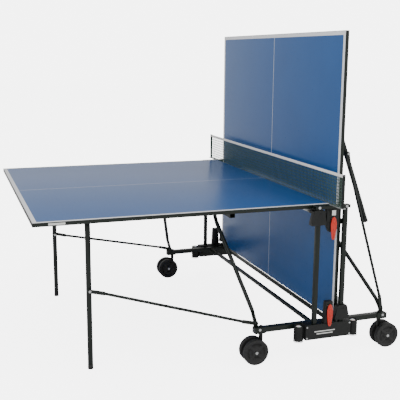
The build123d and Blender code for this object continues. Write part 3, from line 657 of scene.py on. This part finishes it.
class TABLE_OT_steel(bpy.types.Operator):
    """Finish the powder-coated steel: rails, posts, legs, braces and links"""
    bl_idname = "table.steel"
    bl_label = "Steel frame"

    def execute(self, context):
        for node, bevel in STEEL.items():
            softened(f"{node}_finished", node, MATERIALS["steel"], bevel)
        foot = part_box("edge_frame_right")[0].z
        near_pivot = {"left": lambda p: p.x > -PLATED_REACH,
                      "right": lambda p: p.z < foot + PLATED_REACH}
        for end in ENDS:
            softened(f"brackets_{end}_finished", f"brackets_{end}", MATERIALS["steel"], 0.5,
                     other=MATERIALS["strip"], chosen=near_pivot[end])
        softened("net_arms_finished", "net_arms", MATERIALS["strip"], 0.6)
        return {"FINISHED"}


class TABLE_OT_mouldings(bpy.types.Operator):
    """Finish the black mouldings: side boxes, covers, sliders and lock housings"""
    bl_idname = "table.mouldings"
    bl_label = "Mouldings"

    def ball_tube_ribs(self, cfg):
        """Moulded rings round the tubes that hold the balls."""
        tree, given = node_group("Tube ribs", [
            ("Ribs", "Int", 8), ("Pitch", "Float", 0.009), ("Tube radius", "Float", 0.023),
            ("Rib radius", "Float", 0.0012)])
        step = add(tree, "ShaderNodeCombineXYZ", {"Z": given["Pitch"]})
        line = add(tree, "GeometryNodeMeshLine", {"Count": given["Ribs"],
                                                  "Offset": step.outputs[0]})
        lines = add(tree, "GeometryNodeInstanceOnPoints", {"Points": given["Geometry"],
                                                           "Instance": line.outputs[0]})
        spots = add(tree, "GeometryNodeRealizeInstances", {0: lines.outputs[0]})
        ring = add(tree, "GeometryNodeCurvePrimitiveCircle", {"Resolution": 48,
                                                              "Radius": given["Tube radius"]})
        bead = add(tree, "GeometryNodeCurvePrimitiveCircle", {"Resolution": 8,
                                                              "Radius": given["Rib radius"]})
        hoop = add(tree, "GeometryNodeCurveToMesh", {"Curve": ring.outputs[0],
                                                     "Profile Curve": bead.outputs[0]})
        ribs = add(tree, "GeometryNodeInstanceOnPoints", {"Points": spots.outputs[0],
                                                          "Instance": hoop.outputs[0]})
        close_group(tree, [ribs], MATERIALS["moulding"])
        starts = []
        for end in ENDS:
            for side in SIDES:
                low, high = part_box(f"balls_{end}_{side}")
                middle = (low + high) / 2
                starts.append((middle.x, middle.y, low.z + cfg.rib_rise))
        made = grown(tree, seeds("ball_tubes", starts), {"Pitch": cfg.rib_pitch})
        finish_object("ball_tube_ribs", made, [MATERIALS["moulding"]], body_of("side_boxes"))

    def execute(self, context):
        softened("side_boxes_finished", "side_boxes", MATERIALS["moulding"], 0.8)
        softened("side_covers_finished", "side_covers", MATERIALS["moulding"], 0.0)
        self.ball_tube_ribs(context.scene.table_frame)
        softened("lock_housings_finished", "lock_housings", MATERIALS["moulding"], 0.8)
        for end in ENDS:
            softened(f"sliders_{end}_finished", f"sliders_{end}", MATERIALS["nylon"], 1.0)
            softened(f"foot_caps_{end}_finished", f"foot_caps_{end}", MATERIALS["rubber"], 0.0)
            for side in SIDES:
                softened(f"caster_yoke_{end}_{side}_finished", f"caster_yoke_{end}_{side}",
                         MATERIALS["nylon"], 1.0)
        return {"FINISHED"}


# ---------------------------------------------------------------- the net
KNOT_SHARE = 1.8           # of the twine's radius
STITCH_STRETCH = 3.6       # a stitch's length to its thickness
FIRST_STITCH = -0.497      # place along the tape, as a share of its length
HEM_RISE = 2 * MM          # of the stitches above the tape's foot


class TABLE_OT_net(bpy.types.Operator):
    """Make the knotted net and its stitched tape"""
    bl_idname = "table.net"
    bl_label = "Net"

    def knotted(self, cfg):
        """Square mesh of twine with a knot at each crossing and a cord along its foot."""
        tree, given = node_group("Knotted net", [
            ("Length", "Float", 1.8), ("Height", "Float", 0.14), ("Mesh size", "Float", 0.0125),
            ("Twine radius", "Float", 0.0011), ("Cord radius", "Float", 0.0016),
            ("Seed", "Int", 7)])
        counts = []
        for side in ("Length", "Height"):
            cells = maths(tree, "ROUND", maths(tree, "DIVIDE", given[side], given["Mesh size"]))
            counts.append(maths(tree, "ADD", cells, 1.0))
        grid = add(tree, "GeometryNodeMeshGrid", {
            "Size X": given["Length"], "Size Y": given["Height"], "Vertices X": counts[0],
            "Vertices Y": counts[1]})
        upright = add(tree, "GeometryNodeTransform", {
            0: grid.outputs[0], "Rotation": (math.pi / 2, 0, math.pi / 2)})
        section = add(tree, "GeometryNodeCurvePrimitiveCircle", {
            "Resolution": 4, "Radius": given["Twine radius"]})
        lines = add(tree, "GeometryNodeMeshToCurve", {0: upright.outputs[0]})
        twine = add(tree, "GeometryNodeCurveToMesh", {
            "Curve": lines.outputs[0], "Profile Curve": section.outputs[0], "Fill Caps": True})
        knot = add(tree, "GeometryNodeMeshIcoSphere", {
            "Radius": maths(tree, "MULTIPLY", given["Twine radius"], KNOT_SHARE),
            "Subdivisions": 1})
        turn = add(tree, "FunctionNodeRandomValue", {
            "Max": (math.tau, math.tau, math.tau), "Seed": given["Seed"]},
            data_type="FLOAT_VECTOR")
        knots = add(tree, "GeometryNodeInstanceOnPoints", {
            "Points": upright.outputs[0], "Instance": knot.outputs[0],
            "Rotation": turn.outputs[0]})
        half = maths(tree, "MULTIPLY", given["Length"], 0.5)
        foot = maths(tree, "MULTIPLY", given["Height"], -0.5)
        ends = [add(tree, "ShaderNodeCombineXYZ", {"Y": y, "Z": foot}).outputs[0]
                for y in (maths(tree, "MULTIPLY", half, -1.0), half)]
        run = add(tree, "GeometryNodeCurvePrimitiveLine", {"Start": ends[0], "End": ends[1]})
        round_section = add(tree, "GeometryNodeCurvePrimitiveCircle", {
            "Resolution": 10, "Radius": given["Cord radius"]})
        cord = add(tree, "GeometryNodeCurveToMesh", {
            "Curve": run.outputs[0], "Profile Curve": round_section.outputs[0],
            "Fill Caps": True})
        close_group(tree, [twine, knots, cord], MATERIALS["twine"])
        low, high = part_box("net")
        width, height = high.y - low.y, high.z - low.z
        made = grown(tree, seeds("net_seed", [(0, 0, 0)]), {
            "Length": width, "Height": height, "Mesh size": cfg.mesh_size,
            "Twine radius": cfg.twine})
        made.transform(Matrix.Translation((low + high) / 2))
        net = finish_object("knotted_net", made, [MATERIALS["twine"]], body_of("net"), ["net"])
        return net, width, height

    def stitches(self, cfg):
        """The hem's stitches, sunk half into the tape on both of its faces."""
        tree, given = node_group("Hem stitches", [
            ("Length", "Float", 1.8), ("Pitch", "Float", 0.006), ("Thickness", "Float", 0.003),
            ("Thread radius", "Float", 0.0006)])
        count = maths(tree, "FLOOR", maths(tree, "DIVIDE", given["Length"], given["Pitch"]))
        step = add(tree, "ShaderNodeCombineXYZ", {"Y": given["Pitch"]})
        line = add(tree, "GeometryNodeMeshLine", {"Count": count, "Offset": step.outputs[0]})
        back = maths(tree, "MULTIPLY", given["Length"], FIRST_STITCH)
        rows = add(tree, "GeometryNodeJoinGeometry")
        for side in (-0.5, 0.5):
            out = maths(tree, "MULTIPLY", given["Thickness"], side)
            shift = add(tree, "ShaderNodeCombineXYZ", {"X": out, "Y": back})
            row = add(tree, "GeometryNodeTransform", {0: line.outputs[0],
                                                      "Translation": shift.outputs[0]})
            tree.links.new(row.outputs[0], rows.inputs[0])
        ball = add(tree, "GeometryNodeMeshUVSphere", {"Segments": 6, "Rings": 4,
                                                      "Radius": given["Thread radius"]})
        thread = add(tree, "GeometryNodeTransform", {
            0: ball.outputs[0], "Scale": (1, STITCH_STRETCH, 1)})
        laid = add(tree, "GeometryNodeInstanceOnPoints", {"Points": rows.outputs[0],
                                                          "Instance": thread.outputs[0]})
        close_group(tree, [laid], MATERIALS["tape"])
        low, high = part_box("net_tape")
        made = grown(tree, seeds("tape_seed", [(0, 0, 0)]), {
            "Length": high.y - low.y, "Thickness": high.x - low.x, "Pitch": cfg.stitch})
        made.transform(Matrix.Translation(((low.x + high.x) / 2, (low.y + high.y) / 2,
                                           low.z + HEM_RISE)))
        return finish_object("tape_stitches", made, [MATERIALS["tape"]], body_of("net_tape"))

    def execute(self, context):
        cfg = context.scene.table_net
        net, width, height = self.knotted(cfg)
        tape = softened("net_tape_finished", "net_tape", MATERIALS["tape"], 0.9)
        stitches = self.stitches(cfg)
        return {"FINISHED"}


# ---------------------------------------------------------------- fittings
INK = 0.2 * MM                    # thickness of a printed or stuck-on mark
COVER_BAR = (0.11, 0.005)         # length and height of the upper bar on a cover
COVER_BAR_X, COVER_BAR_RISE = -0.02, 0.002
COVER_BAR_STEP = 0.012            # down to the lower bar
LABEL = (0.07, 0.009)             # length and height of the apron's label
LABEL_FROM_END = 0.10
STICKER = (0.020, 0.024)          # width and greatest height of the lock's sticker
HEX_SHARE, HEX_TOP_SHARE = 0.9, 0.76    # of a head's radius: its flats, and its chamfered top
SHANK_SIDES, WASHER_SIDES = 20, 28


def fastener_group():
    """Hexagon bolts: each point carries the way out of its head and the sizes of both."""
    tree, given = node_group("Hexagon bolts", [
        ("Washer share", "Float", 0.2), ("Chamfer share", "Float", 0.18)])
    body = maths(tree, "SUBTRACT", 1.0, given["Chamfer share"])
    out, shank, head = [
        add(tree, "GeometryNodeInputNamedAttribute", {"Name": name},
            data_type="FLOAT_VECTOR").outputs["Attribute"] for name in ("out", "shank", "head")]
    turn = add(tree, "FunctionNodeAlignRotationToVector", {"Vector": out}, axis="Z")

    def cone(sides, low, high, depth, base, size):
        form = add(tree, "GeometryNodeMeshCone", {
            "Vertices": sides, "Radius Bottom": low, "Radius Top": high, "Depth": depth})
        lift = add(tree, "ShaderNodeCombineXYZ", {"Z": base})
        moved = add(tree, "GeometryNodeTransform", {0: form.outputs[0],
                                                    "Translation": lift.outputs[0]})
        return add(tree, "GeometryNodeInstanceOnPoints", {
            "Points": given["Geometry"], "Instance": moved.outputs[0],
            "Rotation": turn.outputs[0], "Scale": size})

    close_group(tree, [
        cone(SHANK_SIDES, 1.0, 1.0, 1.0, -1.0, shank),
        cone(WASHER_SIDES, 1.0, 1.0, given["Washer share"], 0.0, head),
        cone(6, HEX_SHARE, HEX_SHARE, body, 0.0, head),
        cone(6, HEX_SHARE, HEX_TOP_SHARE, given["Chamfer share"], body, head)],
        MATERIALS["zinc"])
    return tree


def spot(point):
    """A point's place to a hundredth of a millimetre."""
    return tuple(round(c, 5) for c in point)


def bolt_facts(points):
    """Where a bolt's head sits, the way out of it, and the sizes of its shank and head.
    Nothing for a plain pin."""
    axis = min(range(3), key=lambda i: len({round(p[i], 5) for p in points}))
    others = [i for i in range(3) if i != axis]
    low, high = limits(points)
    middle = (low + high) / 2
    levels = sorted({round(p[axis], 5) for p in points})

    def radius(level):
        return max(math.dist([p[i] for i in others], [middle[i] for i in others])
                   for p in points if abs(p[axis] - level) < 1e-5)

    if len(levels) < 3 or abs(radius(levels[0]) - radius(levels[-1])) < 1e-4:
        return None
    upward = radius(levels[-1]) > radius(levels[0])
    top, tip = (levels[-1], levels[0]) if upward else (levels[0], levels[-1])
    wide, thin = radius(top), radius(tip)
    seat = min((level for level in levels if radius(level) > thin + 1e-4),
               key=lambda level: abs(level - tip))
    centre, out = list(middle), [0.0, 0.0, 0.0]
    centre[axis] = seat
    out[axis] = 1.0 if upward else -1.0
    return centre, out, (thin, thin, abs(seat - tip)), (wide, wide, abs(top - seat))


class TABLE_OT_fittings(bpy.types.Operator):
    """Make the levers, wheels, balls and fasteners"""
    bl_idname = "table.fittings"
    bl_label = "Fittings"

    def bolts(self):
        tree = fastener_group()
        for node in [name for name in NODES if "bolts" in name or "screws" in name]:
            facts, redrawn = [], set()
            for points in islands(node):
                found = bolt_facts(points)
                if found:
                    facts.append(found)
                    redrawn.update(spot(p) for p in points)
            bm = merged(node)
            bmesh.ops.delete(bm, geom=[v for v in bm.verts if spot(v.co) in redrawn])
            if facts:
                centres, outs, shanks, heads = zip(*facts)
                made = grown(tree, seeds(node, centres, out=outs, shank=shanks, head=heads), {})
                bm.from_mesh(made)
            finish_mesh(f"{node}_finished", bm, [MATERIALS["zinc"]], body_of(node), [node],
                        30)

    def marks(self):
        """Plain stand-ins for the printed mark on the cover, the apron label and a sticker."""
        low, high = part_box("side_covers")
        for drop in (0.0, COVER_BAR_STEP):
            plate(f"cover_mark_{int(drop * 1000)}",
                  (COVER_BAR_X, low.y - INK / 2, (low.z + high.z) / 2 + COVER_BAR_RISE - drop),
                  (COVER_BAR[0] - 2 * drop, INK, COVER_BAR[1]), MATERIALS["ink"],
                  body_of("side_covers"))
        low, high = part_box("edge_frame_left")
        plate("apron_label", (low.x + LABEL_FROM_END, low.y - INK / 2, (low.z + high.z) / 2),
              (LABEL[0], INK, LABEL[1]), MATERIALS["ink"], body_of("edge_frame_left"))
        low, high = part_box("lock_housings")
        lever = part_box("lever_upper_near")[1]
        plate("lock_sticker", (0, low.y - INK / 2, (lever.z + high.z) / 2),
              (STICKER[0], INK, min(STICKER[1], 0.8 * (high.z - lever.z))), MATERIALS["ink"],
              body_of("lock_housings"))

    def execute(self, context):
        self.bolts()
        self.marks()
        for name, node in NODES.items():
            kind = None
            if name.startswith("lever_pins") or "axle" in name or "stubs" in name:
                kind = "zinc"
            elif name.startswith("lever"):
                kind = "red"
            elif name.startswith("balls"):
                kind = "ball"
            elif name.startswith("caster_wheels"):
                kind = "tyre"
            if kind:
                softened(f"{name}_finished", name, MATERIALS[kind], 0.0)
        return {"FINISHED"}


# ---------------------------------------------------------------- the stage
LIGHTS = (      # name, place, aim, size and power
    ("key_light", (-3.5, -4.5, 5.0), (0, 0, 0.6), (4, 4), 160),
    ("fill_light", (4.0, -3.0, 3.0), (0, 0, 0.8), (3, 3), 50),
)
FLOOR_HALF = 30            # metres from the middle to the floor's edge
SENSOR = 36                # width in millimetres


def floor_paint(cfg):
    """White studio paint, lit up to the camera so that it runs into the backdrop."""
    material, tree, shader = surface("White studio paint", "#f8f8f8", 0.9,
                                     Emission_Color=(1, 1, 1, 1))
    seen = add(tree, "ShaderNodeLightPath").outputs["Is Camera Ray"]
    tree.links.new(maths(tree, "MULTIPLY", seen, cfg.backdrop),
                   shader.inputs["Emission Strength"])
    return material


def area_light(name, at, aim, size, power):
    data = bpy.data.lights.new(name, "AREA")
    data.shape = "RECTANGLE"
    data.size, data.size_y = size
    data.energy = power
    lamp = bpy.data.objects.new(name, data)
    lamp.location = at
    lamp.rotation_euler = (Vector(aim) - Vector(at)).to_track_quat("-Z", "Y").to_euler()
    bpy.context.scene.collection.objects.link(lamp)
    return lamp


class TABLE_OT_stage(bpy.types.Operator):
    """Set up the pale floor, the soft light and the camera"""
    bl_idname = "table.stage"
    bl_label = "Stage"

    def execute(self, context):
        cfg = context.scene.table_stage
        world = bpy.data.worlds.new("Studio")
        world.use_nodes = True
        background = world.node_tree.nodes["Background"]
        background.inputs["Color"].default_value = (1, 1, 1, 1)
        seen = add(world.node_tree, "ShaderNodeLightPath").outputs["Is Camera Ray"]
        power = maths(world.node_tree, "MULTIPLY_ADD", seen, cfg.backdrop)
        power.node.inputs[2].default_value = cfg.daylight
        world.node_tree.links.new(power, background.inputs["Strength"])
        context.scene.world = world
        bm = bmesh.new()
        bmesh.ops.create_grid(bm, x_segments=1, y_segments=1, size=FLOOR_HALF)
        mesh = bpy.data.meshes.new("studio_floor")
        bm.to_mesh(mesh)
        bm.free()
        floor = bpy.data.objects.new("studio_floor", mesh)
        mesh.materials.append(floor_paint(cfg))
        context.scene.collection.objects.link(floor)
        for light in LIGHTS:
            area_light(*light)
        data = bpy.data.cameras.new("camera")
        data.sensor_width = SENSOR
        data.lens = cfg.lens
        camera = bpy.data.objects.new("camera", data)
        camera.matrix_world = (Matrix.Translation(cfg.eye)
                               @ Matrix.Rotation(cfg.heading, 4, "Z")
                               @ Matrix.Rotation(math.pi / 2 - cfg.dip, 4, "X")
                               @ Matrix.Rotation(cfg.roll, 4, "Z"))
        context.scene.collection.objects.link(camera)
        context.scene.camera = camera
        return {"FINISHED"}


# ---------------------------------------------------------------- add-on
class TABLE_PT_panel(bpy.types.Panel):
    """Lists the table's pieces"""
    bl_label = "Ping Pong Table"
    bl_idname = "TABLE_PT_panel"
    bl_space_type = "VIEW_3D"
    bl_region_type = "UI"
    bl_category = "Table"

    def draw(self, context):
        for operator in OPERATORS:
            self.layout.operator(operator.bl_idname)


SETTINGS = {
    "table_boards": BoardSettings,
    "table_net": NetSettings,
    "table_frame": FrameSettings,
    "table_stage": StageSettings,
}
OPERATORS = (TABLE_OT_boards, TABLE_OT_steel, TABLE_OT_mouldings, TABLE_OT_net,
             TABLE_OT_fittings, TABLE_OT_stage)


def register():
    for name, group in SETTINGS.items():
        bpy.utils.register_class(group)
        setattr(bpy.types.Scene, name, bpy.props.PointerProperty(type=group))
    for cls in (*OPERATORS, TABLE_PT_panel):
        bpy.utils.register_class(cls)


def unregister():
    for cls in (TABLE_PT_panel, *reversed(OPERATORS)):
        bpy.utils.unregister_class(cls)
    for name, group in SETTINGS.items():
        delattr(bpy.types.Scene, name)
        bpy.utils.unregister_class(group)


def main():
    register()
    make_materials()
    bpy.ops.table.boards()
    bpy.ops.table.steel()
    bpy.ops.table.mouldings()
    bpy.ops.table.net()
    bpy.ops.table.fittings()
    bpy.ops.table.stage()


if __name__ == "__main__":
    main()
